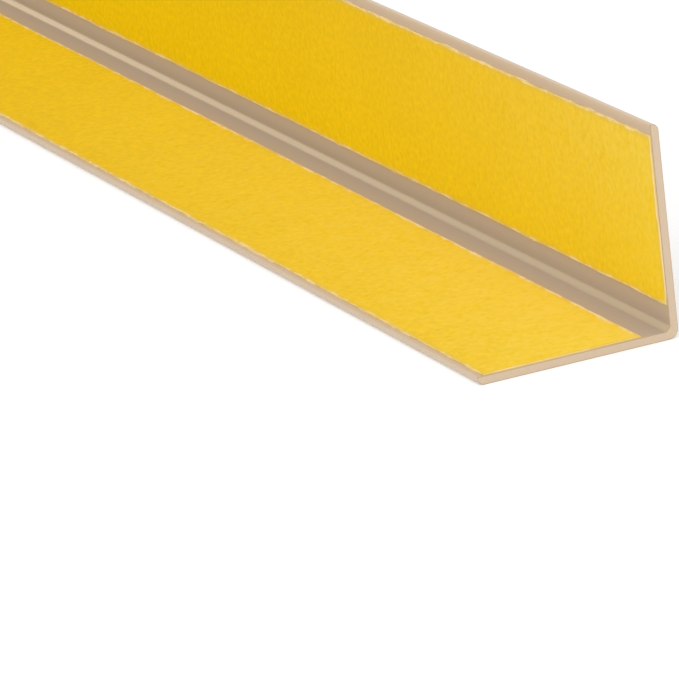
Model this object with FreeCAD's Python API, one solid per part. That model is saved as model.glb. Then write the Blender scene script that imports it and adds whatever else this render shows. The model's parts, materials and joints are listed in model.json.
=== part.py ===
import FreeCAD, Part
import os

# Self-adhesive corner guard moulding: one extruded PVC angle with a taped inner face on each leg.
#
# The guard lies as it would on a level floor. Its base leg is flat on its outer face and reaches from the
# heel towards -Y, its upright leg stands up from the heel towards +Z, and its length runs along X.
# The origin is on the floor, at the centre of the footprint.
# On the inner face of each leg lies a strip of double-sided adhesive, and on that a peel-off paper liner.
#
# A place in the cross-section is a pair: the distance from the heel along the base leg, and the height.
# The two legs are alike, so swapping the pair carries a place from the base leg to the upright leg.

# Driving dimensions, in millimetres.
GUARD_LENGTH = 1000.0
LEG_WIDTH = 50.0  # each leg, from the outer heel to its free edge
WALL = 2.0  # thickness of each leg
HEEL_RADIUS = 2.5  # outer corner, which takes the knocks
ROOT_FLAT = 1.2  # flat that fills the inner corner, measured along each leg
EDGE_RADIUS = 1.6  # outer arris of a leg's free edge
TAPE_ROOT_MARGIN = 6.2  # bare strip between the inner corner and the upright leg's tape
TAPE_EDGE_MARGIN = 2.8  # bare strip between the upright leg's tape and its free edge
BASE_TAPE_SHIFT = 1.1  # how much further from the inner corner the base leg's tape is laid
TAPE_END_SETBACK = 0.4  # how far the tape stops short of each sawn end
ADHESIVE_THICKNESS = 0.2
LINER_THICKNESS = 0.1

# Limits and places that follow from the driving dimensions.
LARGEST_EDGE_SHARE = 0.9  # of the wall, so that some flat is left at the free edge
HEEL_Y = LEG_WIDTH / 2
OUTPUT_FOLDER = "parts"


def row_point(place, x=0.0):
    """The point of the model at a place of the cross-section."""
    from_heel, height = place
    return FreeCAD.Vector(x, HEEL_Y - from_heel, height)


def swapped(place):
    """The like place on the other leg."""
    from_heel, height = place
    return height, from_heel


def straight(start, end, x):
    return Part.LineSegment(row_point(start, x), row_point(end, x)).toShape()


def rounded(start, end, centre, x):
    """A quarter circle from start to end about its centre."""
    first, last, middle = (row_point(place, x) for place in (start, end, centre))
    radius = (first - middle).Length
    towards_arc = ((first - middle) + (last - middle)).normalize()
    return Part.Arc(first, middle + towards_arc * radius, last).toShape()


def angle_profile():
    """The extruded angle: its outline is drawn at one end and pushed along the length."""
    x = -GUARD_LENGTH / 2
    edge_radius = min(EDGE_RADIUS, LARGEST_EDGE_SHARE * WALL)
    heel = (HEEL_RADIUS, 0.0)
    edge_start = (LEG_WIDTH - edge_radius, 0.0)
    edge_end = (LEG_WIDTH, edge_radius)
    edge_centre = (LEG_WIDTH - edge_radius, edge_radius)
    inner_arris = (LEG_WIDTH, WALL)
    root = (WALL + ROOT_FLAT, WALL)
    heel_centre = (HEEL_RADIUS, HEEL_RADIUS)

    base_leg = [
        straight(heel, edge_start, x),
        rounded(edge_start, edge_end, edge_centre, x),
        straight(edge_end, inner_arris, x),
        straight(inner_arris, root, x),
    ]
    root_flat = straight(root, swapped(root), x)
    upright_leg = [
        straight(swapped(root), swapped(inner_arris), x),
        straight(swapped(inner_arris), swapped(edge_end), x),
        rounded(swapped(edge_end), swapped(edge_start), swapped(edge_centre), x),
        straight(swapped(edge_start), swapped(heel), x),
    ]
    round_heel = rounded(swapped(heel), heel, heel_centre, x)

    outline = Part.Wire(base_leg + [root_flat] + upright_leg + [round_heel])
    return Part.Face(outline).extrude(FreeCAD.Vector(GUARD_LENGTH, 0, 0))


def lying_strip(above_leg, thickness, shift):
    """A flat strip over the base leg's taped width, laid the given shift further from the inner corner."""
    near_root = WALL + TAPE_ROOT_MARGIN + shift
    near_edge = LEG_WIDTH - TAPE_EDGE_MARGIN + shift
    length = GUARD_LENGTH - 2 * TAPE_END_SETBACK
    corner = row_point((near_edge, WALL + above_leg), -length / 2)
    return Part.makeBox(length, near_edge - near_root, thickness, corner)


def standing_strip(above_leg, thickness):
    """An unshifted strip, mirrored onto the upright leg in the plane that halves the angle at the heel."""
    strip = lying_strip(above_leg, thickness, 0.0)
    return strip.mirror(row_point((0.0, 0.0)), FreeCAD.Vector(0, 1, 1))


def guard_pieces():
    """Every piece of the guard by the name of its node."""
    return {
        "angle_profile": angle_profile(),
        "adhesive_strip_base": lying_strip(0.0, ADHESIVE_THICKNESS, BASE_TAPE_SHIFT),
        "adhesive_strip_upright": standing_strip(0.0, ADHESIVE_THICKNESS),
        "release_liner_base": lying_strip(ADHESIVE_THICKNESS, LINER_THICKNESS, BASE_TAPE_SHIFT),
        "release_liner_upright": standing_strip(ADHESIVE_THICKNESS, LINER_THICKNESS),
    }


def main():
    os.makedirs(OUTPUT_FOLDER, exist_ok=True)
    for node, shape in guard_pieces().items():
        shape.exportStep(os.path.join(OUTPUT_FOLDER, node + ".step"))
        print(node, "valid" if shape.isValid() else "NOT VALID", f"{shape.Volume / 1000:.3f} cm3")


main()
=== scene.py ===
"""Dresses a self-adhesive corner guard moulding.

The guard is one length of extruded plastic angle. It lies with its base leg flat on the floor and its
upright leg standing up at the back, and on the inner face of each leg is a strip of adhesive under a
peel-off paper liner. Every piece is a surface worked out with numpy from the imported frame's own sizes.

A place in the cross-section is a pair: the distance from the heel along the base leg, and the height.
Swapping the pair carries a place from the base leg to the upright leg.
"""

import json
import math

import bpy
import numpy as np
from bpy.props import FloatProperty, FloatVectorProperty, PointerProperty
from bpy.types import Operator, Panel, PropertyGroup
from mathutils import Matrix, Vector


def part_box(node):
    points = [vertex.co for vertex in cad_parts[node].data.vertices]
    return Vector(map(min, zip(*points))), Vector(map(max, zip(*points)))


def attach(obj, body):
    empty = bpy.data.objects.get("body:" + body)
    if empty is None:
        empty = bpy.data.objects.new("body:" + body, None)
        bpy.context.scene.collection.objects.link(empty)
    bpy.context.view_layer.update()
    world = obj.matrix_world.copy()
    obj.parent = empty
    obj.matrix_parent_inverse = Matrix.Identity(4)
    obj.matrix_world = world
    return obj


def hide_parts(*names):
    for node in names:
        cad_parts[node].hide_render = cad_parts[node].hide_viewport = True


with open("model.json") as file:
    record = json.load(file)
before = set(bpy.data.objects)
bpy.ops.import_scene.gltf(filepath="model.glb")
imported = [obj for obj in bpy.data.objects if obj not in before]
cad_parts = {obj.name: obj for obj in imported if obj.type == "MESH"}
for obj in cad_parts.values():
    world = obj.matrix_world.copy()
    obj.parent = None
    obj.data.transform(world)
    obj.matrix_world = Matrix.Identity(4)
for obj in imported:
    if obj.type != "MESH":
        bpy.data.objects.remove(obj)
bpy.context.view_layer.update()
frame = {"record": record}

bl_info = {
    "name": "Corner Guard Moulding",
    "version": (1, 0, 0),
    "blender": (4, 5, 0),
    "location": "View3D > Sidebar > Corner Guard",
    "description": "Dresses a taped plastic corner guard and sets it on a plain studio floor",
    "category": "Object",
}

# Sizes that the frame gives, in metres.
GUARD_LOW, GUARD_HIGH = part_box("angle_profile")
LEG_WIDTH = GUARD_HIGH.z - GUARD_LOW.z
HALF_LENGTH = (GUARD_HIGH.x - GUARD_LOW.x) / 2
HEEL_Y = GUARD_HIGH.y
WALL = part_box("adhesive_strip_base")[0].z
RECORD_COLOUR = {entry["slot"]: entry["base_color"] for entry in frame["record"]["materials"]}

# How finely the surfaces are divided.
EDGE_POINTS = 14
ARRIS_POINTS = 7
LEG_POINTS = 96
HEEL_POINTS = 16
FILLET_POINTS = 9
WALL_POINTS = 7
END_ROUND_POINTS = 5
BODY_STATIONS = 61
STRIP_STATIONS = 481
STRIP_WIDTH_POINTS = 25
SHARP_ANGLE = math.radians(40)  # faces that meet at more than this keep a sharp edge

# Painted shade in the inner corner, a wide band and a narrow dark line beside the root flat: lengths in
# metres, and shares.
CORNER_SHADE_RISE = 0.0005  # how far past the root flat the painted shade takes to rise
WIDE_SHADE_REACH = 0.012  # how far the wide band of painted shade reaches from there
NARROW_SHADE_REACH = 0.0025  # how far the narrow dark line of painted shade reaches
UPRIGHT_WIDE_SHADE = 0.7  # the wide band of painted shade on the upright leg, against the base leg's
BASE_NARROW_SHADE = 0.3  # the narrow line of painted shade on the base leg, against the upright leg's
END_NARROW_SHADE = 0.45  # the narrow line of painted shade at the ends, against the middle's
THINNING_START = 0.6  # where along each half of the guard the narrow line of painted shade starts to thin
FLAT_SHADE_SPAN = (0.28, 0.8)  # where along each half the painted shade starts and ends covering the root flat
FLAT_SHADE = 1.31  # painted shade on the root flat at the ends, against the darkest beside it
NARROW_SHADE_COVER = 0.55  # how far the darkest painted shade beside the root flat hides the plastic

# Painted light on a free edge, paler where light from the floor falls on it: shares, and lengths in metres.
EDGE_LIGHT_START = 0.35  # painted light where the outer arris starts
INNER_EDGE_LIGHT = 0.2  # painted light on the inner side
EDGE_LIGHT_RISE = 0.001  # over which the painted light grows round the outer arris
EDGE_LIGHT_FALL = 0.0015  # over which it dies away past the arris

# How each liner's painted sheen, a paler veil of light, spreads: the power of the distance from the middle by
# which it grows, and how much stronger it is beside the root than on average.
SHEEN_SPREAD = {"base": (1.4, 0.3), "upright": (4.5, -0.4)}

# Edges of the tape, in metres, and a share.
EDGE_FRAY = 0.0004  # undyed paper along a liner's cut edges
ROOT_FRAY = {"base": 0.001, "upright": 0.0005}  # the same along the root side of each leg's liner
ROOT_FRAY_SHARE = 0.1  # of the width, over which the root side's fray goes over into the other
HANDLED_MARGIN = 0.0013  # duller paper along a liner's edges
LINT_WIDTH = 0.00025  # rim of the adhesive where lint sticks

# Wavelengths, in metres, of the slow wander in slit edges and paper, and of the ridges that a saw leaves.
WANDER_WAVES = np.array([0.171, 0.083, 0.037, 0.019, 0.011])
SAW_WAVES = np.array([0.0031, 0.0019, 0.0013])

# Seeds of the waves' phases. A strip's is the first of four that follow each other.
SAW_SEED = 3
ADHESIVE_SEED = {"base": 11, "upright": 23}
LINER_SEED = {"base": 37, "upright": 53}

# How often each grain repeats in a metre along X, Y and Z.
DIE_LINES = (1.5, 1100.0, 1100.0)
PLASTIC_PEEL = (600.0, 600.0, 600.0)
SAW_MARKS = (40.0, 2200.0, 90.0)
# Patches in the painted light on the free edges.
EDGE_LIGHT_PATCHES = (60.0, 60.0, 60.0)
PAPER_FIBRES = (760.0, 640.0, 640.0)
PAPER_MOTTLE = (130.0, 90.0, 90.0)
FRAYED_STRETCHES = (150.0, 40.0, 40.0)
LINT_SCRAPS = (130.0, 40.0, 40.0)
ADHESIVE_GRAIN = (800.0, 800.0, 800.0)
SAW_TILT = math.radians(38)  # turn of the saw's marks about the length

# Depths, in metres, of the fine relief on each material.
PLASTIC_RELIEF = 0.00003
PAPER_RELIEF = 0.00003
ADHESIVE_RELIEF = 0.00004

# Soft lamps: where each stands, the point that it faces and the side of its square, in metres.
KEY_LAMP = ((2.0, -0.6, 1.1), (GUARD_HIGH.x, 0.0, LEG_WIDTH / 2), 1.2)
FILL_LAMP = ((0.35, -2.0, 0.3), (0.35, 0.0, 0.0), 1.0)
FAR_LAMP = ((-1.36, -0.44, 0.6), (0.1, 0.0, 0.0), 0.5)


class GuardProfileSizes(PropertyGroup):
    """Sizes of the extruded angle's cross-section and of its sawn ends"""

    heel_radius: FloatProperty(
        name="Heel radius", description="Radius of the outer corner between the legs",
        default=0.0025, min=0.0005, max=0.01, precision=5, unit="LENGTH")
    root_flat: FloatProperty(
        name="Root flat", description="Flat that fills the inner corner, measured along each leg",
        default=0.001, min=0.0002, max=0.005, precision=5, unit="LENGTH")
    root_fillet: FloatProperty(
        name="Root fillet", description="Radius where the flat runs into each leg's inner face",
        default=0.0007, min=0.0001, max=0.002, precision=5, unit="LENGTH")
    edge_radius: FloatProperty(
        name="Edge radius", description="Radius of the outer arris of a leg's free edge",
        default=0.0016, min=0.0002, max=0.0018, precision=5, unit="LENGTH")
    arris_radius: FloatProperty(
        name="Arris radius", description="Radius of the inner arris of a leg's free edge",
        default=0.0002, min=0.00005, max=0.0005, precision=5, unit="LENGTH")
    sawn_radius: FloatProperty(
        name="Sawn arris radius", description="Rounding all round a sawn end",
        default=0.0002, min=0.00002, max=0.0005, precision=5, unit="LENGTH")
    saw_ridge: FloatProperty(
        name="Saw ridge", description="Height of the ridges that the saw left on an end",
        default=0.000012, min=0.0, max=0.0002, precision=6, unit="LENGTH")


class GuardTapeSizes(PropertyGroup):
    """How the adhesive strips and their liners depart from straight, sharp strips"""

    overhang: FloatProperty(
        name="Adhesive overhang", description="How far the adhesive shows beyond the liner on average",
        default=0.00025, min=0.0, max=0.001, precision=5, unit="LENGTH")
    end_overhang: FloatProperty(
        name="End overhang", description="How far the adhesive shows beyond the liner at each end",
        default=0.00012, min=0.0, max=0.0003, precision=5, unit="LENGTH")
    adhesive_wander: FloatProperty(
        name="Adhesive wander", description="How far the edge of the adhesive strays to either side",
        default=0.0003, min=0.0, max=0.001, precision=5, unit="LENGTH")
    liner_wander: FloatProperty(
        name="Liner wander", description="How far the edge of the liner strays to either side",
        default=0.00018, min=0.0, max=0.001, precision=5, unit="LENGTH")
    cockle: FloatProperty(
        name="Liner cockle", description="Height of the slow swellings in the paper",
        default=0.00002, min=0.0, max=0.0002, precision=6, unit="LENGTH")
    # Painted sheen: how far each liner is painted paler towards its ends, standing in for a veil of light.
    base_sheen: FloatProperty(
        name="Base liner fading", description="How far the lying liner has faded at its ends",
        default=0.7, min=0.0, max=1.0, subtype="FACTOR")
    upright_sheen: FloatProperty(
        name="Upright liner fading", description="How far the standing liner has faded at its ends",
        default=0.5, min=0.0, max=1.0, subtype="FACTOR")


class GuardFinish(PropertyGroup):
    """Colours and gloss of the guard's materials"""

    pvc_colour: FloatVectorProperty(
        name="Plastic", description="Body colour of the extruded plastic",
        default=RECORD_COLOUR["pvc"], min=0.0, max=1.0, subtype="COLOR")
    sawn_colour: FloatVectorProperty(
        name="Sawn plastic", description="Paler colour of the plastic where the saw has scuffed it",
        default=(0.615, 0.48, 0.347), min=0.0, max=1.0, subtype="COLOR")
    # Painted highlight: the root flat's yellower, lighter colour stands in for its warm highlight.
    root_highlight_colour: FloatVectorProperty(
        name="Root flat", description="Yellower plastic of the flat in the inner corner",
        default=(0.589, 0.439, 0.27), min=0.0, max=1.0, subtype="COLOR")
    # Painted shade: a greyer band beside the root flat, where the inner corner is in shade.
    wide_shade_colour: FloatVectorProperty(
        name="Dust film", description="Greyer plastic under the thin film of dust beside the root flat",
        default=(0.45, 0.367, 0.29), min=0.0, max=1.0, subtype="COLOR")
    # Painted shade: a dark line along each side of the root flat, deepest in the corner's shade.
    narrow_shade_colour: FloatVectorProperty(
        name="Grime", description="Dark line of dirt along each side of the root flat",
        default=(0.385, 0.303, 0.178), min=0.0, max=1.0, subtype="COLOR")
    # Painted light: free edges painted paler where light from the floor falls on them.
    lit_edge_colour: FloatVectorProperty(
        name="Worn free edge", description="Paler colour of the rubbed outer arris of a free edge",
        default=(0.86, 0.715, 0.56), min=0.0, max=1.0, subtype="COLOR")
    # Painted shade: a darker rim round each sawn end.
    shaded_arris_colour: FloatVectorProperty(
        name="Sawn arris", description="Darker colour of the rubbed arris round a sawn end",
        default=(0.45, 0.322, 0.195), min=0.0, max=1.0, subtype="COLOR")
    pvc_roughness: FloatProperty(
        name="Plastic roughness", description="Roughness of the satin extruded faces",
        default=0.42, min=0.0, max=1.0, subtype="FACTOR")
    liner_colour: FloatVectorProperty(
        name="Liner", description="Dyed paper of the release liner at its free side",
        default=(0.802, 0.495, 0.0), min=0.0, max=1.0, subtype="COLOR")
    # Painted light: the liner's root side is painted lighter than its free side, against the inner corner's
    # shade.
    liner_lit_root_colour: FloatVectorProperty(
        name="Liner root side", description="Dyed paper of the release liner at its root side",
        default=(0.851, 0.569, 0.0), min=0.0, max=1.0, subtype="COLOR")
    liner_margin_colour: FloatVectorProperty(
        name="Liner margin", description="Duller, handled paper along the edges of the liner",
        default=(0.72, 0.49, 0.1), min=0.0, max=1.0, subtype="COLOR")
    # Painted sheen: the paler colour that each liner goes to towards its ends, broken up by fibres.
    liner_sheen_colour: FloatVectorProperty(
        name="Liner fibre", description="Paler fibres in the dyed paper",
        default=(0.89, 0.63, 0.08), min=0.0, max=1.0, subtype="COLOR")
    liner_edge_colour: FloatVectorProperty(
        name="Liner cut edge", description="Undyed paper that shows along a cut edge",
        default=(0.89, 0.7, 0.34), min=0.0, max=1.0, subtype="COLOR")
    adhesive_colour: FloatVectorProperty(
        name="Adhesive", description="Pale adhesive that shows beside the liner",
        default=RECORD_COLOUR["adhesive"], min=0.0, max=1.0, subtype="COLOR")
    # Partly painted shade: duller adhesive in stretches, and darker towards the root side where it lies in
    # shade.
    dull_shaded_adhesive_colour: FloatVectorProperty(
        name="Dull adhesive", description="Adhesive dulled by dust between the scraps of lint",
        default=(0.55, 0.41, 0.15), min=0.0, max=1.0, subtype="COLOR")
    lint_colour: FloatVectorProperty(
        name="Lint", description="Pale scraps of lint that stick to the bare edge of the adhesive",
        default=(0.93, 0.78, 0.45), min=0.0, max=1.0, subtype="COLOR")


class GuardStageSettings(PropertyGroup):
    """Floor, lamps and camera"""

    floor_width: FloatProperty(
        name="Floor width", description="Side of the square studio floor",
        default=120.0, min=1.0, max=500.0, unit="LENGTH")
    floor_colour: FloatVectorProperty(
        name="Floor", description="Pale colour of the floor",
        default=(0.82, 0.82, 0.82), min=0.0, max=1.0, subtype="COLOR")
    floor_lift: FloatProperty(
        name="Floor lift", description="Share of white that a viewer sees added to the floor",
        default=0.24, min=0.0, max=1.0, subtype="FACTOR")
    sky_strength: FloatProperty(
        name="Sky strength", description="Even light from all round; the background itself is white",
        default=0.80, min=0.0, max=1.0, subtype="FACTOR")
    key_power: FloatProperty(
        name="Key lamp", description="Power of the large soft lamp above the near end",
        default=18.0, min=0.0, max=200.0, unit="POWER")
    fill_power: FloatProperty(
        name="Fill lamp", description="Power of the low soft lamp in front of the base leg's free edge",
        default=2.5, min=0.0, max=200.0, unit="POWER")
    far_power: FloatProperty(
        name="Far lamp", description="Power of the low soft lamp beyond the far end",
        default=2.5, min=0.0, max=200.0, unit="POWER")
    camera_aim: FloatVectorProperty(
        name="Camera aim", description="Point of the floor at the middle of the picture",
        default=(0.4467, -0.03487, 0.0), subtype="TRANSLATION", unit="LENGTH")
    camera_distance: FloatProperty(
        name="Camera distance", description="From the aim to the camera",
        default=1.54153, min=0.1, max=50.0, precision=5, unit="LENGTH")
    camera_azimuth: FloatProperty(
        name="Camera azimuth", description="Turn of the camera round the upright axis; 0 looks along +Y",
        default=math.radians(67.7227), subtype="ANGLE")
    camera_elevation: FloatProperty(
        name="Camera elevation", description="Angle of the camera above the floor",
        default=math.radians(17.0179), subtype="ANGLE")
    camera_roll: FloatProperty(
        name="Camera roll", description="Turn of the camera about its own line of sight",
        default=math.radians(-6.5597), subtype="ANGLE")
    lens: FloatProperty(
        name="Lens", description="Focal length for a 36 mm wide sensor",
        default=357.3, min=10.0, max=1000.0, unit="CAMERA")


class CornerGuardSettings(PropertyGroup):
    """All settings of the corner guard"""

    profile: PointerProperty(type=GuardProfileSizes, name="Profile", description="The extruded angle")
    tape: PointerProperty(type=GuardTapeSizes, name="Tape", description="Adhesive strips and liners")
    finish: PointerProperty(type=GuardFinish, name="Finish", description="Colours and gloss")
    stage: PointerProperty(type=GuardStageSettings, name="Stage", description="Floor, lamps and camera")


# Curves and surfaces


def arc(centre, radius, start, end, count):
    """A circle's points: the centre plus radius times (cosine, sine) of an angle that steps evenly."""
    angle = np.radians(np.linspace(start, end, count))
    return np.asarray(centre) + radius * np.column_stack([np.cos(angle), np.sin(angle)])


def straight(start, end, count):
    """Points that step evenly from start to end."""
    return np.linspace(start, end, count)


def cosine_steps(count):
    """Shares from 0 to 1 that crowd towards both ends: half of one minus the cosine of an even angle."""
    return 0.5 - 0.5 * np.cos(np.linspace(0.0, math.pi, count))


def crowded(start, end, count):
    """Points from start to end that crowd towards both."""
    return np.asarray(start) + np.subtract(end, start) * cosine_steps(count)[:, None]


def waves(place, lengths, seed):
    """Mean of one sine per wavelength, each with its own phase from the seed, so it stays within 1."""
    phase = np.random.default_rng(seed).uniform(0.0, 2 * math.pi, len(lengths))
    return np.sin(2 * math.pi * np.asarray(place)[..., None] / lengths + phase).mean(axis=-1)


def both_legs(base_half):
    """A half outline from the base leg's free edge to the heel, and on by its mirror up the upright leg."""
    return np.vstack([base_half, base_half[-2::-1, ::-1]])


def section_sides(sizes):
    """The inner and the outer side of the cross-section, point for point, from free edge to free edge.

    The outer side is a quarter circle at the free edge, a straight leg and half of the heel's quarter
    circle. The inner side is a small quarter circle, a straight leg, an eighth of a circle that turns into
    the root flat, and half of that flat. Each is then mirrored in the line that halves the heel.
    """
    edge, heel, arris = sizes.edge_radius, sizes.heel_radius, sizes.arris_radius
    fillet = sizes.root_fillet
    fillet_start = WALL + sizes.root_flat + fillet * math.tan(math.radians(22.5))
    middle_of_flat = WALL + sizes.root_flat / 2
    to_flat = arc((fillet_start, WALL + fillet), fillet, -90, -135, FILLET_POINTS)
    outer = np.vstack([
        arc((LEG_WIDTH - edge, edge), edge, 0, -90, EDGE_POINTS),
        crowded((LEG_WIDTH - edge, 0.0), (heel, 0.0), LEG_POINTS)[1:-1],
        arc((heel, heel), heel, -90, -135, HEEL_POINTS),
    ])
    inner = np.vstack([
        arc((LEG_WIDTH - arris, WALL - arris), arris, 0, 90, ARRIS_POINTS),
        straight((LEG_WIDTH - arris, WALL), (LEG_WIDTH - edge, WALL), EDGE_POINTS - ARRIS_POINTS + 1)[1:],
        crowded((LEG_WIDTH - edge, WALL), (fillet_start, WALL), LEG_POINTS)[1:-1],
        to_flat,
        straight(to_flat[-1], (middle_of_flat, middle_of_flat), HEEL_POINTS - FILLET_POINTS + 1)[1:],
    ])
    return both_legs(inner), both_legs(outer)


def ruled(inner, outer):
    """A grid between two sides: at share t of the wall, 1 - t of the inner plus t of the outer side."""
    share = np.linspace(0.0, 1.0, WALL_POINTS)[None, :, None]
    return (1 - share) * inner[:, None] + share * outer[:, None]


def border(grid):
    """The values round a grid's border: first column, last row, last column back, first row back."""
    return np.concatenate([grid[:, 0], grid[-1, 1:-1], grid[::-1, -1], grid[0, -2:0:-1]])


def outward_normals(outline):
    """At each point of a closed outline, the chord between its neighbours turned a quarter turn outwards."""
    chord = np.roll(outline, -1, axis=0) - np.roll(outline, 1, axis=0)
    turned = np.column_stack([chord[:, 1], -chord[:, 0]])
    return turned / np.linalg.norm(turned, axis=1, keepdims=True)


def in_row_frame(x, place):
    """Points of the model from lengthwise places and pairs of the cross-section."""
    x = np.broadcast_to(x, place.shape[:-1])
    return np.stack([x, HEEL_Y - place[..., 0], place[..., 1]], axis=-1)


def tube_faces(index):
    """Quads between neighbouring loops of a grid of vertex numbers, a loop to a row, each loop closed."""
    ahead = np.roll(index, -1, axis=1)
    return np.stack([index[:-1], ahead[:-1], ahead[1:], index[1:]], axis=-1).reshape(-1, 4)


def grid_faces(index):
    """Quads between neighbouring rows and columns of a grid of vertex numbers."""
    corners = [index[:-1, :-1], index[1:, :-1], index[1:, 1:], index[:-1, 1:]]
    return np.stack(corners, axis=-1).reshape(-1, 4)


def corner_shade_profile(inner, root_flat, reach):
    """How much painted shade lies on each point of the inner side, from 0 to 1.

    Along the side from the middle of the root flat, it rises from 0 at the flat's border to 1 just past it,
    and falls from there as a half cosine to 0 at its reach.
    """
    along = np.append(0.0, np.cumsum(np.linalg.norm(np.diff(inner, axis=0), axis=1)))
    past_flat = np.abs(along - along[-1] / 2) - root_flat * math.sqrt(0.5)
    rise = np.clip(past_flat / CORNER_SHADE_RISE, 0.0, 1.0)
    fall = np.clip((past_flat - CORNER_SHADE_RISE) / reach, 0.0, 1.0)
    return rise * (0.5 + 0.5 * np.cos(math.pi * fall))


def on_root_flat(inner, root_flat):
    """Whether each point of the inner side is on the flat that fills the inner corner."""
    return inner.max(axis=1) < WALL + root_flat


def painted_corner_shade(inner, root_flat, to_end):
    """Painted shade over the inner side, a wide band and a narrow dark line, a row for each share of the way
    from the middle to an end.

    The wide band is lighter on the upright leg and the narrow line on the base leg. Towards each end the
    narrow line thins beside the root flat and creeps onto the flat, more and more over its span.
    """
    on_base = inner[:, 0] > inner[:, 1]
    wide_shade = corner_shade_profile(inner, root_flat, WIDE_SHADE_REACH) * np.where(on_base, 1.0, UPRIGHT_WIDE_SHADE)
    narrow_shade = corner_shade_profile(inner, root_flat, NARROW_SHADE_REACH) * np.where(on_base, BASE_NARROW_SHADE, 1.0)
    thinned = narrow_shade * np.interp(to_end, (THINNING_START, 1.0), (1.0, END_NARROW_SHADE))[:, None]
    covered = on_root_flat(inner, root_flat)
    creeping = covered * np.interp(to_end, FLAT_SHADE_SPAN, (0.0, FLAT_SHADE))[:, None]
    return np.tile(wide_shade, (len(to_end), 1)), np.maximum(thinned, creeping)


def painted_edge_light(from_free_edge, outside, edge_radius):
    """How much painted light lies on each point of the outline, from its distance behind the free edge.

    On the outer side it grows evenly from its starting share to 1 and dies away past the rounded arris.
    On the inner side it dies away over the same radius. Across the free edge it goes evenly from one to
    the other.
    """
    grown = EDGE_LIGHT_START + (1 - EDGE_LIGHT_START) * np.clip(from_free_edge / EDGE_LIGHT_RISE, 0.0, 1.0)
    outer = grown * (1 - np.clip((from_free_edge - edge_radius) / EDGE_LIGHT_FALL, 0.0, 1.0))
    inner = INNER_EDGE_LIGHT * (1 - np.clip(from_free_edge / edge_radius, 0.0, 1.0))
    return (1 - outside) * inner + outside * outer


def lengthwise_stations(sawn_radius):
    """Where the outline's loops stand along the guard, how far each has shrunk, and how far it is sawn.

    The loops crowd towards both ends. Over the last sawn radius of each end an angle steps evenly through a
    quarter turn: a loop advances by its sine, shrinks by one minus its cosine, and is sawn by its share of
    the quarter turn.
    """
    turn = np.linspace(0.0, math.pi / 2, END_ROUND_POINTS)[1:]
    straight_half = HALF_LENGTH - sawn_radius
    body = straight_half * (2 * cosine_steps(BODY_STATIONS) - 1)
    end = straight_half + sawn_radius * np.sin(turn)
    shrunk = sawn_radius * (1 - np.cos(turn))
    unturned = np.zeros(BODY_STATIONS)
    x = np.concatenate([-end[::-1], body, end])
    inset = np.concatenate([shrunk[::-1], unturned, shrunk])
    sawn = np.concatenate([turn[::-1], unturned, turn]) / (math.pi / 2)
    return x, inset, sawn


def cap_numbers(loop, across, first):
    """Vertex numbers of an end's grid: the tube's last loop round its border, and inside from first on."""
    corner, back = across + WALL_POINTS - 2, 2 * across + WALL_POINTS - 2
    numbers = np.empty((across, WALL_POINTS), int)
    numbers[:, 0] = loop[:across]
    numbers[-1, 1:-1] = loop[across:corner]
    numbers[::-1, -1] = loop[corner:back]
    numbers[0, -2:0:-1] = loop[back:]
    inside = numbers[1:-1, 1:-1]
    inside[:] = first + np.arange(inside.size).reshape(inside.shape)
    return numbers


def tube_attributes(sizes, inner, outline, x, sawn):
    """How far each point of the carried outline is sawn, under painted corner shade, on the root flat and
    under painted edge light, loop by loop.
    """
    outside = border(np.broadcast_to(np.linspace(0.0, 1.0, WALL_POINTS), (len(inner), WALL_POINTS)))
    edge_light = painted_edge_light(LEG_WIDTH - outline.max(axis=1), outside, sizes.edge_radius)
    wide_shade, narrow_shade, root = np.zeros((3, len(x), len(outline)))
    wide_shade[:, :len(inner)], narrow_shade[:, :len(inner)] = painted_corner_shade(inner, sizes.root_flat, np.abs(x) / HALF_LENGTH)
    root[:, :len(inner)] = on_root_flat(inner, sizes.root_flat)
    return {
        "sawn": np.repeat(sawn, len(outline)),
        "wide_shade": wide_shade.ravel(),
        "narrow_shade": narrow_shade.ravel(),
        "root": root.ravel(),
        "edge_light": np.tile(edge_light, len(x)),
    }


def angle_profile_surface(sizes):
    """Vertices, faces and attributes of the extruded angle.

    The outline is carried along the length, and rounded all round each end. A ruled grid between the inner
    and the outer side, drawn in by the sawn radius, closes each end. Inside its border it is sunk by the
    saw's ridges: their height times one plus a mean of sines. It is wholly sawn, with no painted shade or
    painted light.
    """
    inner, outer = section_sides(sizes)
    section = ruled(inner, outer)
    outline = border(section)
    x, inset, sawn = lengthwise_stations(sizes.sawn_radius)
    tube = in_row_frame(x[:, None], outline - inset[:, None, None] * outward_normals(outline))
    tube_index = np.arange(tube.shape[0] * tube.shape[1]).reshape(tube.shape[:2])
    vertices, faces = [tube.reshape(-1, 3)], [tube_faces(tube_index)]

    drawn_in = section - sizes.sawn_radius * (section - section.mean(axis=1, keepdims=True)) / (WALL / 2)
    inside = drawn_in[1:-1, 1:-1]
    ridges = -sizes.saw_ridge * (1 + waves(inside[..., 0] - inside[..., 1], SAW_WAVES, SAW_SEED))
    for end, loop in ((-1, tube_index[0]), (1, tube_index[-1])):
        first = sum(len(part) for part in vertices)
        vertices.append(in_row_frame(end * (HALF_LENGTH + ridges), inside).reshape(-1, 3))
        faces.append(grid_faces(cap_numbers(loop, len(inner), first))[:, ::end])

    attributes = tube_attributes(sizes, inner, outline, x, sawn)
    for name, values in attributes.items():
        attributes[name] = np.append(values, np.full(2 * ridges.size, float(name == "sawn")))
    return np.vstack(vertices), np.vstack(faces), attributes


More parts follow.
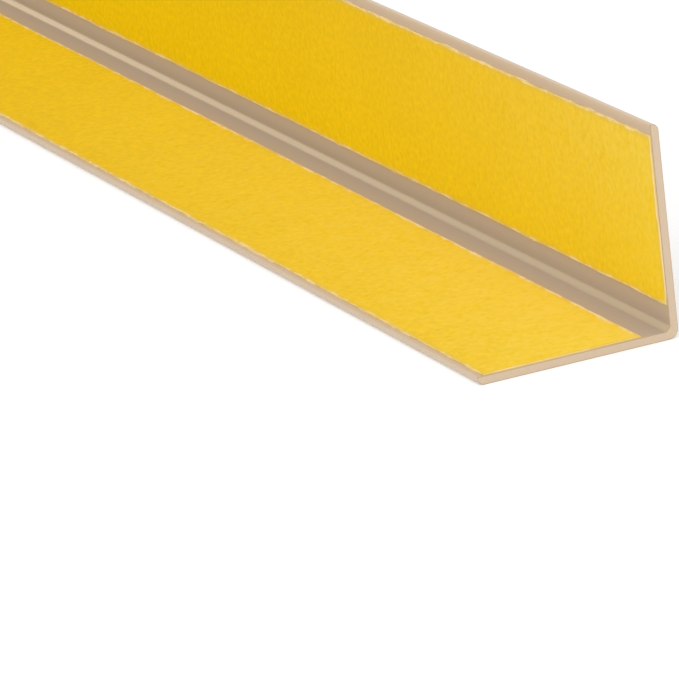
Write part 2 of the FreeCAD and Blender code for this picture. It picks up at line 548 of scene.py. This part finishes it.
def strip_surface(node, upright, end_growth, edge_growth, wander, cockle, seed):
    """Vertices, faces and attributes of one strip that lies where its frame node lies.

    Each long edge is the node's own edge, moved out by the growth and by a slow mean of sines. Across the
    width the points crowd towards the edges. The top is the node's top raised by the cockle, a product of
    two means of sines; the bottom is flat. A loop goes across the top and back along the bottom, and the
    loops are carried along the length. The attributes are each point's distance from the nearest edge, its
    share of the way from the root side to the free side, and its share of the way from the middle to an end.
    """
    low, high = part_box(node)
    from_heel, height = (HEEL_Y - high.y, HEEL_Y - low.y), (low.z, high.z)
    across, above = (height, from_heel) if upright else (from_heel, height)
    x = low.x - end_growth + (high.x - low.x + 2 * end_growth) * cosine_steps(STRIP_STATIONS)
    near_edge = across[0] - edge_growth + wander * waves(x, WANDER_WAVES, seed)
    far_edge = across[1] + edge_growth + wander * waves(x, WANDER_WAVES, seed + 1)
    share = cosine_steps(STRIP_WIDTH_POINTS)
    place = near_edge[:, None] + (far_edge - near_edge)[:, None] * share
    swell = waves(x, WANDER_WAVES, seed + 2)[:, None] * waves(place, WANDER_WAVES, seed + 3)
    top = above[1] + cockle * swell
    bottom = np.full_like(top, above[0])

    loop_place = np.concatenate([place, place[:, ::-1]], axis=1)
    loop_above = np.concatenate([top, bottom], axis=1)
    pair = np.stack([loop_above, loop_place] if upright else [loop_place, loop_above], axis=-1)
    vertices = in_row_frame(x[:, None], pair)
    index = np.arange(vertices.shape[0] * vertices.shape[1]).reshape(vertices.shape[:2])
    width = STRIP_WIDTH_POINTS
    first, last = (np.stack([row[:width], row[:width - 1:-1]], axis=1) for row in index[[0, -1]])
    faces = [tube_faces(index), grid_faces(first)[:, ::-1], grid_faces(last)]

    to_side = np.minimum(place - near_edge[:, None], far_edge[:, None] - place)
    to_end = np.minimum(x - x[0], x[-1] - x)[:, None]
    from_edge = np.minimum(to_side, to_end)
    attributes = {
        "from_edge": np.concatenate([from_edge, from_edge[:, ::-1]], axis=1).ravel(),
        "across": np.tile(np.concatenate([share, share[::-1]]), len(x)),
        "to_end": np.repeat(np.abs(x) / x[-1], index.shape[1]),
    }
    return vertices.reshape(-1, 3), np.vstack(faces), attributes


def sheened_liner(surface, sheen_reach, power, lean, root_fray):
    """The liner's surface with how much painted sheen, a paler veil of light, lies at each point, and how far
    its cut edges are frayed there.

    The painted sheen is the given share of a power of the way to the end, and changes evenly across the
    width: by the lean more at the root side, by the lean less at the free side. Fraying goes evenly from the
    root side's to that of the other edges.
    """
    vertices, faces, attributes = surface
    across, to_end = attributes["across"], attributes["to_end"]
    painted_sheen = sheen_reach * to_end ** power * (1 + lean * (1 - 2 * across))
    fray = np.interp(across, (0.0, ROOT_FRAY_SHARE), (root_fray, EDGE_FRAY))
    return vertices, faces, attributes | {"painted_sheen": painted_sheen, "fray": fray}


def enclosed_volume(vertices, faces):
    """Volume inside the faces: a sixth of the sum of each corner fan's triple products."""
    a, b, c, d = (vertices[faces[:, k]] for k in range(4))
    fan = np.einsum("ij,ij->i", a, np.cross(b, c)) + np.einsum("ij,ij->i", a, np.cross(c, d))
    return fan.sum() / 6


def add_piece(name, surface, material, node):
    """Makes a closed mesh of a surface, faces outwards, in place of its frame node."""
    vertices, faces, attributes = surface
    edges = np.sort(np.stack([faces, np.roll(faces, -1, axis=1)], axis=-1).reshape(-1, 2), axis=1)
    if np.any(np.unique(edges, axis=0, return_counts=True)[1] != 2):
        raise RuntimeError(f"{name} isn't closed: an edge doesn't have two faces")
    if enclosed_volume(vertices, faces) < 0:
        faces = faces[:, ::-1]
    mesh = bpy.data.meshes.new(name)
    mesh.from_pydata(vertices, [], faces)
    for key, values in attributes.items():
        mesh.attributes.new(key, "FLOAT", "POINT").data.foreach_set("value", values.astype(np.float32))
    mesh.shade_smooth()
    mesh.set_sharp_from_angle(angle=SHARP_ANGLE)
    mesh.materials.append(material)
    piece = bpy.data.objects.new(name, mesh)
    bpy.context.scene.collection.objects.link(piece)
    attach(piece, "root")
    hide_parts(node)


# Materials


def add_node(tree, kind, inputs=None, **settings):
    """A new node with its settings; an input is linked where a socket is given, and otherwise set."""
    node = tree.nodes.new(kind)
    for name, value in settings.items():
        setattr(node, name, value)
    for key, value in (inputs or {}).items():
        if isinstance(value, bpy.types.NodeSocket):
            tree.links.new(value, node.inputs[key])
        else:
            node.inputs[key].default_value = value
    return node


def arithmetic(tree, operation, first, second=0.0, third=0.0):
    return add_node(tree, "ShaderNodeMath", {0: first, 1: second, 2: third}, operation=operation).outputs[0]


def blend_value(tree, factor, first, second):
    return add_node(tree, "ShaderNodeMix", {0: factor, 2: first, 3: second}).outputs[0]


def blend_colour(tree, factor, first, second):
    inputs = {0: factor, 6: opaque(first), 7: opaque(second)}
    return add_node(tree, "ShaderNodeMix", inputs, data_type="RGBA").outputs[2]


def opaque(colour):
    """A colour with full alpha; a socket is passed on as it is."""
    return colour if isinstance(colour, bpy.types.NodeSocket) else (*colour, 1.0)


def rescale(tree, value, old, new):
    """The value's place in the old range, held within it, carried to the new range."""
    inputs = {0: value, 1: old[0], 2: old[1], 3: new[0], 4: new[1]}
    return add_node(tree, "ShaderNodeMapRange", inputs).outputs[0]


def new_group(name, inputs, outputs):
    """An empty shader node group with its named sockets, and its input and output nodes."""
    tree = bpy.data.node_groups.new(name, "ShaderNodeTree")
    for direction, sockets in (("INPUT", inputs), ("OUTPUT", outputs)):
        for label, kind in sockets.items():
            tree.interface.new_socket(label, in_out=direction, socket_type="NodeSocket" + kind)
    return tree, tree.nodes.new("NodeGroupInput").outputs, tree.nodes.new("NodeGroupOutput").inputs


def stretched_grain_group():
    """Noise drawn out along chosen axes, such as die lines, paper fibres or saw marks."""
    inputs = {"Vector": "Vector", "Repeats": "Vector", "Detail": "Float", "Contrast": "Float"}
    tree, given, result = new_group("Stretched grain", inputs, {"Grain": "Float"})
    drawn_out = add_node(tree, "ShaderNodeVectorMath",
                         {0: given["Vector"], 1: given["Repeats"]}, operation="MULTIPLY").outputs[0]
    noise = add_node(tree, "ShaderNodeTexNoise",
                     {"Vector": drawn_out, "Scale": 1.0, "Detail": given["Detail"], "Roughness": 0.6})
    centred = arithmetic(tree, "SUBTRACT", noise.outputs["Fac"], 0.5)
    stronger = arithmetic(tree, "MULTIPLY_ADD", centred, given["Contrast"], 0.5)
    tree.links.new(add_node(tree, "ShaderNodeClamp", {0: stronger}).outputs[0], result["Grain"])
    return tree


def cloudy_tint_group():
    """A colour made lighter and darker in soft patches."""
    inputs = {"Color": "Color", "Vector": "Vector", "Scale": "Float", "Amount": "Float"}
    tree, given, result = new_group("Cloudy tint", inputs, {"Color": "Color"})
    noise = add_node(tree, "ShaderNodeTexNoise",
                     {"Vector": given["Vector"], "Scale": given["Scale"], "Detail": 3.0})
    swing = arithmetic(tree, "MULTIPLY_ADD", noise.outputs["Fac"], 2.0, -1.0)
    gain = arithmetic(tree, "MULTIPLY_ADD", swing, given["Amount"], 1.0)
    tinted = add_node(tree, "ShaderNodeVectorMath", {0: given["Color"], "Scale": gain}, operation="SCALE")
    tree.links.new(tinted.outputs[0], result["Color"])
    return tree


def ragged_edge_group():
    """A mask that is 1 at an edge and fades over a width that noise makes ragged."""
    inputs = {"Distance": "Float", "Vector": "Vector", "Width": "Float", "Scale": "Float"}
    tree, given, result = new_group("Ragged edge", inputs, {"Edge": "Float"})
    noise = add_node(tree, "ShaderNodeTexNoise",
                     {"Vector": given["Vector"], "Scale": given["Scale"], "Detail": 2.0})
    ragged = rescale(tree, noise.outputs["Fac"], (0.35, 0.65), (0.2, 1.8))
    reach = arithmetic(tree, "MULTIPLY", ragged, given["Width"])
    near = arithmetic(tree, "DIVIDE", given["Distance"], reach)
    tree.links.new(rescale(tree, near, (0.3, 1.0), (1.0, 0.0)), result["Edge"])
    return tree


def shared_group(name):
    """The named node group, built the first time that it is asked for."""
    makers = {
        "Stretched grain": stretched_grain_group,
        "Cloudy tint": cloudy_tint_group,
        "Ragged edge": ragged_edge_group,
    }
    return bpy.data.node_groups.get(name) or makers[name]()


def use_group(tree, name, **inputs):
    """Places a shared group in a material and gives its output."""
    values = {key.capitalize(): value for key, value in inputs.items()}
    return add_node(tree, "ShaderNodeGroup", values, node_tree=shared_group(name)).outputs[0]


def new_material(name):
    """An empty material, its node tree and its Principled shader."""
    material = bpy.data.materials.new(name)
    material.use_nodes = True
    tree = material.node_tree
    tree.nodes.clear()
    shader = tree.nodes.new("ShaderNodeBsdfPrincipled")
    output = tree.nodes.new("ShaderNodeOutputMaterial")
    tree.links.new(shader.outputs[0], output.inputs["Surface"])
    return material, tree, shader


def own_place(tree):
    """The piece's own coordinates, in metres."""
    return tree.nodes.new("ShaderNodeTexCoord").outputs["Object"]


def mesh_value(tree, name):
    """A float attribute of the piece's own mesh."""
    return add_node(tree, "ShaderNodeAttribute", attribute_name=name).outputs["Fac"]


def raise_bump(tree, shader, height, depth, strength):
    """Bump of the given height pattern on the shader's normal."""
    bump = add_node(tree, "ShaderNodeBump", {"Height": height, "Distance": depth, "Strength": strength})
    tree.links.new(bump.outputs[0], shader.inputs["Normal"])


def used_plastic_colour(tree, place, die_lines, finish):
    """Colour of the extruded faces: cloudy plastic, a root flat tinted as its painted highlight, painted
    shade in the inner corner, painted light on the free edges and rubbed die lines.
    """
    satin = use_group(tree, "Cloudy tint", color=opaque(finish.pvc_colour), vector=place,
                      scale=18.0, amount=0.05)
    specked = use_group(tree, "Cloudy tint", color=satin, vector=place, scale=900.0, amount=0.02)
    # Painted highlight: the root flat takes a yellower, lighter colour.
    rooted = blend_colour(tree, mesh_value(tree, "root"), specked, finish.root_highlight_colour)
    # Painted shade: a wide band and a narrow dark line beside the root flat.
    wide_shaded = blend_colour(tree, mesh_value(tree, "wide_shade"), rooted, finish.wide_shade_colour)
    narrow_shade = arithmetic(tree, "MULTIPLY", mesh_value(tree, "narrow_shade"), NARROW_SHADE_COVER)
    corner_shaded = blend_colour(tree, narrow_shade, wide_shaded, finish.narrow_shade_colour)
    # Painted light on the free edges, made patchy.
    patches = use_group(tree, "Stretched grain", vector=place, repeats=EDGE_LIGHT_PATCHES, detail=2.0, contrast=1.5)
    patchy = rescale(tree, patches, (0.0, 1.0), (0.7, 1.2))
    edge_lit = arithmetic(tree, "MULTIPLY", mesh_value(tree, "edge_light"), patchy)
    edged = blend_colour(tree, edge_lit, corner_shaded, finish.lit_edge_colour)
    return blend_colour(tree, rescale(tree, die_lines, (0.55, 1.0), (0.0, 0.15)), edged, finish.sawn_colour)


def pvc_material(finish):
    """Satin extruded plastic with die lines along its length, scuffed pale where it was sawn, and painted
    shade round each sawn arris.
    """
    material, tree, shader = new_material("extruded pvc")
    place = own_place(tree)
    sawn = mesh_value(tree, "sawn")
    die_lines = use_group(tree, "Stretched grain", vector=place, repeats=DIE_LINES, detail=3.0, contrast=1.6)
    peel = use_group(tree, "Stretched grain", vector=place, repeats=PLASTIC_PEEL, detail=2.0, contrast=1.4)
    tilted = add_node(tree, "ShaderNodeMapping", {"Vector": place, "Rotation": (SAW_TILT, 0.0, 0.0)})
    saw_marks = use_group(tree, "Stretched grain", vector=tilted.outputs[0], repeats=SAW_MARKS,
                          detail=3.0, contrast=1.8)

    marked = rescale(tree, saw_marks, (0.2, 0.8), (0.0, 0.3))
    scuffed = blend_colour(tree, marked, finish.sawn_colour, finish.pvc_colour)
    body = blend_colour(tree, rescale(tree, sawn, (0.55, 0.9), (0.0, 1.0)),
                        used_plastic_colour(tree, place, die_lines, finish), scuffed)
    # Painted shade: a darker rim round each sawn end.
    shaded_arris = arithmetic(tree, "MULTIPLY", rescale(tree, sawn, (0.0, 0.3), (0.0, 1.0)),
                          rescale(tree, sawn, (0.7, 1.0), (1.0, 0.0)))
    tree.links.new(blend_colour(tree, shaded_arris, body, finish.shaded_arris_colour), shader.inputs["Base Color"])

    shader.inputs["Specular IOR Level"].default_value = 0.25
    shader.inputs["Specular Tint"].default_value = (1.0, 0.86, 0.6, 1.0)
    satin_roughness = arithmetic(tree, "MULTIPLY_ADD", die_lines, 0.12, finish.pvc_roughness - 0.06)
    tree.links.new(blend_value(tree, sawn, satin_roughness, 0.7), shader.inputs["Roughness"])
    relief = arithmetic(tree, "MULTIPLY_ADD", die_lines, 0.6, arithmetic(tree, "MULTIPLY", peel, 0.4))
    raise_bump(tree, shader, blend_value(tree, sawn, relief, saw_marks), PLASTIC_RELIEF, 0.5)
    return material


def liner_material(finish):
    """Dyed, mottled paper with fine fibres, painted lighter at its root side and paler towards its ends by
    painted sheen, dull along its edges and frayed where it was cut.
    """
    material, tree, shader = new_material("yellow liner paper")
    place = own_place(tree)
    fibres = use_group(tree, "Stretched grain", vector=place, repeats=PAPER_FIBRES, detail=4.0, contrast=2.4)
    mottle = use_group(tree, "Stretched grain", vector=place, repeats=PAPER_MOTTLE, detail=3.0, contrast=1.6)
    # Painted light: the dyed colour is lighter at the root side than at the free side.
    lit_dye = blend_colour(tree, mesh_value(tree, "across"), finish.liner_lit_root_colour, finish.liner_colour)
    cloudy = use_group(tree, "Cloudy tint", color=lit_dye, vector=place, scale=35.0, amount=0.04)
    dyed = use_group(tree, "Cloudy tint", color=cloudy, vector=place, scale=700.0, amount=0.2)
    # Painted sheen: paler towards the ends, broken up by mottle and fibres.
    uneven = arithmetic(tree, "ADD", rescale(tree, mottle, (0.0, 1.0), (0.3, 0.7)), fibres)
    pale = arithmetic(tree, "MULTIPLY", mesh_value(tree, "painted_sheen"), uneven)
    painted_sheen = blend_colour(tree, pale, dyed, finish.liner_sheen_colour)

    from_edge = mesh_value(tree, "from_edge")
    handled = blend_colour(tree, rescale(tree, from_edge, (0.0, HANDLED_MARGIN), (0.75, 0.0)), painted_sheen,
                           finish.liner_margin_colour)
    cut = use_group(tree, "Ragged edge", distance=from_edge, vector=place,
                    width=mesh_value(tree, "fray"), scale=210.0)
    frayed = use_group(tree, "Stretched grain", vector=place, repeats=FRAYED_STRETCHES,
                       detail=2.0, contrast=3.0)
    undyed = arithmetic(tree, "MULTIPLY", cut, rescale(tree, frayed, (0.3, 0.7), (0.25, 1.0)))
    tree.links.new(blend_colour(tree, undyed, handled, finish.liner_edge_colour), shader.inputs["Base Color"])

    shader.inputs["Specular IOR Level"].default_value = 0.03
    tree.links.new(rescale(tree, fibres, (0.0, 1.0), (0.6, 0.8)), shader.inputs["Roughness"])
    relief = arithmetic(tree, "MULTIPLY_ADD", mottle, 0.5, fibres)
    raise_bump(tree, shader, relief, PAPER_RELIEF, 0.4)
    return material


def adhesive_material(finish):
    """Pale adhesive, a little glossy, duller in stretches and darker towards the root side by painted shade,
    and with scraps of lint along its bare edge.
    """
    material, tree, shader = new_material("cream adhesive")
    place = own_place(tree)
    tacky = use_group(tree, "Cloudy tint", color=opaque(finish.adhesive_colour), vector=place,
                      scale=240.0, amount=0.25)
    scraps = use_group(tree, "Stretched grain", vector=place, repeats=LINT_SCRAPS, detail=2.0, contrast=3.5)
    # Duller in stretches, and painted shade that grows towards the root side.
    dust_and_shade = arithmetic(tree, "MAXIMUM", rescale(tree, scraps, (0.0, 0.5), (0.65, 0.0)),
                      rescale(tree, mesh_value(tree, "across"), (0.0, 1.0), (0.7, 0.2)))
    dulled = blend_colour(tree, dust_and_shade, tacky, finish.dull_shaded_adhesive_colour)
    bare = use_group(tree, "Ragged edge", distance=mesh_value(tree, "from_edge"), vector=place,
                     width=LINT_WIDTH, scale=700.0)
    lint = arithmetic(tree, "MULTIPLY", bare, rescale(tree, scraps, (0.55, 0.8), (0.0, 0.65)))
    tree.links.new(blend_colour(tree, lint, dulled, finish.lint_colour), shader.inputs["Base Color"])

    grain = use_group(tree, "Stretched grain", vector=place, repeats=ADHESIVE_GRAIN, detail=2.0, contrast=1.5)
    tree.links.new(rescale(tree, grain, (0.0, 1.0), (0.35, 0.55)), shader.inputs["Roughness"])
    raise_bump(tree, shader, grain, ADHESIVE_RELIEF, 0.4)
    return material


def floor_material(stage):
    """Pale matte floor that a viewer, a gloss or a glass sees a little whiter; it keeps every shadow."""
    material, tree, shader = new_material("studio floor")
    shader.inputs["Base Color"].default_value = opaque(stage.floor_colour)
    shader.inputs["Roughness"].default_value = 0.9
    shader.inputs["Specular IOR Level"].default_value = 0.0
    shader.inputs["Emission Color"].default_value = opaque((1.0, 1.0, 1.0))
    lift = arithmetic(tree, "MULTIPLY", seen_directly(tree), stage.floor_lift)
    tree.links.new(lift, shader.inputs["Emission Strength"])
    return material


def seen_directly(tree):
    """1 for what the camera, a gloss or a glass sees, 0 for what only lights a matte surface."""
    path = tree.nodes.new("ShaderNodeLightPath").outputs
    gloss = arithmetic(tree, "MAXIMUM", path["Is Glossy Ray"], path["Is Transmission Ray"])
    return arithmetic(tree, "MAXIMUM", path["Is Camera Ray"], gloss)


# Stage


def set_sky(stage):
    """Even soft light from all round, with white where the sky itself is seen."""
    world = bpy.data.worlds.new("studio sky")
    world.use_nodes = True
    tree = world.node_tree
    tree.nodes.clear()
    strength = blend_value(tree, seen_directly(tree), stage.sky_strength, 1.0)
    sky = add_node(tree, "ShaderNodeBackground", {"Color": (1.0, 1.0, 1.0, 1.0), "Strength": strength})
    output = tree.nodes.new("ShaderNodeOutputWorld")
    tree.links.new(sky.outputs[0], output.inputs["Surface"])
    bpy.context.scene.world = world


def add_floor(stage):
    """A flat square at height 0, centred under the guard."""
    half = stage.floor_width / 2
    corners = half * np.array([[-1, -1, 0], [1, -1, 0], [1, 1, 0], [-1, 1, 0]], float)
    mesh = bpy.data.meshes.new("studio_floor")
    mesh.from_pydata(corners, [], np.array([[0, 1, 2, 3]]))
    mesh.materials.append(floor_material(stage))
    floor = bpy.data.objects.new("studio_floor", mesh)
    bpy.context.scene.collection.objects.link(floor)


def add_soft_lamp(name, place, aim, size, power):
    """A square area lamp that faces its aim; the camera doesn't see the lamp itself."""
    lamp = bpy.data.lights.new(name, "AREA")
    lamp.size = size
    lamp.energy = power
    holder = bpy.data.objects.new(name, lamp)
    holder.location = place
    holder.rotation_euler = (Vector(aim) - Vector(place)).to_track_quat("-Z", "Y").to_euler()
    holder.visible_camera = False
    bpy.context.scene.collection.objects.link(holder)


def add_camera(stage):
    """A camera at its distance from the aim, turned by azimuth and elevation, then rolled."""
    azimuth, elevation = stage.camera_azimuth, stage.camera_elevation
    back = Vector((math.sin(azimuth) * math.cos(elevation),
                   -math.cos(azimuth) * math.cos(elevation), math.sin(elevation)))
    camera = bpy.data.cameras.new("camera")
    camera.lens = stage.lens
    camera.clip_start = 0.01
    camera.clip_end = 500.0
    holder = bpy.data.objects.new("camera", camera)
    facing = (-back).to_track_quat("-Z", "Y").to_matrix()
    rolled = facing @ Matrix.Rotation(stage.camera_roll, 3, "Z")
    place = Vector(stage.camera_aim) + stage.camera_distance * back
    holder.matrix_world = Matrix.Translation(place) @ rolled.to_4x4()
    bpy.context.scene.collection.objects.link(holder)
    bpy.context.scene.camera = holder


# Operators, panel and registration


class GUARD_OT_add_angle_profile(Operator):
    """Add the extruded plastic angle with its rounded heel, root flat and sawn ends"""

    bl_idname = "guard.add_angle_profile"
    bl_label = "Add Angle Profile"

    def execute(self, context):
        settings = context.scene.corner_guard
        surface = angle_profile_surface(settings.profile)
        add_piece("extruded_angle", surface, pvc_material(settings.finish), "angle_profile")
        return {"FINISHED"}


class GUARD_OT_add_adhesive_strips(Operator):
    """Add the strip of adhesive on the inner face of each leg"""

    bl_idname = "guard.add_adhesive_strips"
    bl_label = "Add Adhesive Strips"

    def execute(self, context):
        settings = context.scene.corner_guard
        tape = settings.tape
        material = adhesive_material(settings.finish)
        for leg, seed in ADHESIVE_SEED.items():
            node = "adhesive_strip_" + leg
            surface = strip_surface(node, leg == "upright", tape.end_overhang, tape.overhang,
                                    tape.adhesive_wander, cockle=0.0, seed=seed)
            add_piece(leg + "_adhesive", surface, material, node)
        return {"FINISHED"}


class GUARD_OT_add_release_liners(Operator):
    """Add the yellow paper liner over each strip of adhesive"""

    bl_idname = "guard.add_release_liners"
    bl_label = "Add Release Liners"

    def execute(self, context):
        settings = context.scene.corner_guard
        tape = settings.tape
        material = liner_material(settings.finish)
        # How far each liner's painted sheen reaches at its ends.
        sheen_reach = {"base": tape.base_sheen, "upright": tape.upright_sheen}
        for leg, seed in LINER_SEED.items():
            node = "release_liner_" + leg
            strip = strip_surface(node, leg == "upright", 0.0, 0.0, tape.liner_wander, tape.cockle, seed)
            surface = sheened_liner(strip, sheen_reach[leg], *SHEEN_SPREAD[leg], ROOT_FRAY[leg])
            add_piece(leg + "_liner", surface, material, node)
        return {"FINISHED"}


class GUARD_OT_set_stage(Operator):
    """Set the studio floor, the soft lamps, the white sky and the camera"""

    bl_idname = "guard.set_stage"
    bl_label = "Set Stage"

    def execute(self, context):
        stage = context.scene.corner_guard.stage
        add_floor(stage)
        set_sky(stage)
        add_soft_lamp("key_lamp", *KEY_LAMP, stage.key_power)
        add_soft_lamp("fill_lamp", *FILL_LAMP, stage.fill_power)
        add_soft_lamp("far_lamp", *FAR_LAMP, stage.far_power)
        add_camera(stage)
        context.scene.view_settings.view_transform = "Standard"
        return {"FINISHED"}


class GUARD_PT_sidebar(Panel):
    """Lists the corner guard's settings and the operators that build it"""

    bl_idname = "GUARD_PT_sidebar"
    bl_label = "Corner Guard"
    bl_space_type = "VIEW_3D"
    bl_region_type = "UI"
    bl_category = "Corner Guard"

    def draw(self, context):
        settings = context.scene.corner_guard
        for group in (settings.profile, settings.tape, settings.finish, settings.stage):
            box = self.layout.box()
            for name in group.__annotations__:
                box.prop(group, name)
        for operator in OPERATORS:
            self.layout.operator(operator.bl_idname)


OPERATORS = (
    GUARD_OT_add_angle_profile,
    GUARD_OT_add_adhesive_strips,
    GUARD_OT_add_release_liners,
    GUARD_OT_set_stage,
)
CLASSES = (
    GuardProfileSizes,
    GuardTapeSizes,
    GuardFinish,
    GuardStageSettings,
    CornerGuardSettings,
    *OPERATORS,
    GUARD_PT_sidebar,
)


def register():
    for cls in CLASSES:
        bpy.utils.register_class(cls)
    bpy.types.Scene.corner_guard = PointerProperty(type=CornerGuardSettings)


def unregister():
    del bpy.types.Scene.corner_guard
    for cls in reversed(CLASSES):
        bpy.utils.unregister_class(cls)


def main():
    register()
    bpy.ops.guard.add_angle_profile()
    bpy.ops.guard.add_adhesive_strips()
    bpy.ops.guard.add_release_liners()
    bpy.ops.guard.set_stage()


if __name__ == "__main__":
    main()
